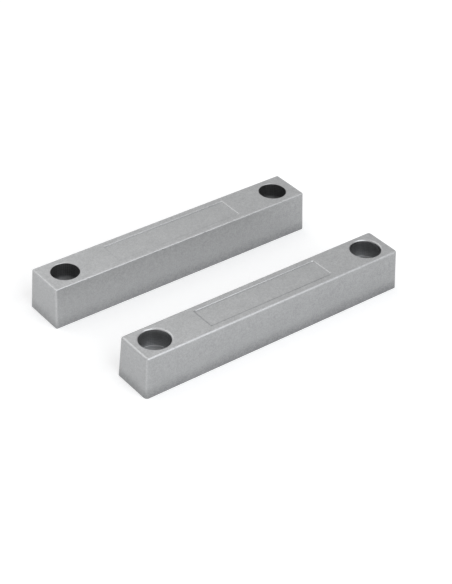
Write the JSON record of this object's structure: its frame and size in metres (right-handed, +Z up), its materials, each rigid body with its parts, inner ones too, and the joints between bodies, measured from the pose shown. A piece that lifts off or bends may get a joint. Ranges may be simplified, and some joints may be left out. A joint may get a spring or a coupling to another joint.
{
  "type": "magnetic contact",
  "caption": "Surface-mount magnetic contact: slim drafted metal bars with counterbored screw wells and a shallow label field, a reed switch in the switch half, a magnet in the magnet half.",
  "frame": {"origin": "on the surface that the pair stands on, at the middle of the pair", "axes": "+X along the bars, +Y from the switch half to the magnet half, +Z up out of the bars' top faces"},
  "size_m": [0.072, 0.0414, 0.01],
  "materials": {
    "housing_metal": "satin, fine blasted grain",
    "board": "green solder mask",
    "reed_glass": "clear",
    "reed_metal": "plated, dull",
    "solder": "bright solder",
    "resin": "cast, slightly glossy",
    "magnet": "ground"
  },
  "bodies": {
    "root": {"switch_housing": "housing_metal", "carrier_board": "board", "reed_glass_tube": "reed_glass", "reed_blade_left": "reed_metal", "reed_blade_right": "reed_metal", "solder_joints": "solder", "switch_potting": "resin", "magnet_housing": "housing_metal", "bar_magnet": "magnet", "magnet_potting": "resin"}
  },
  "joints": []
}
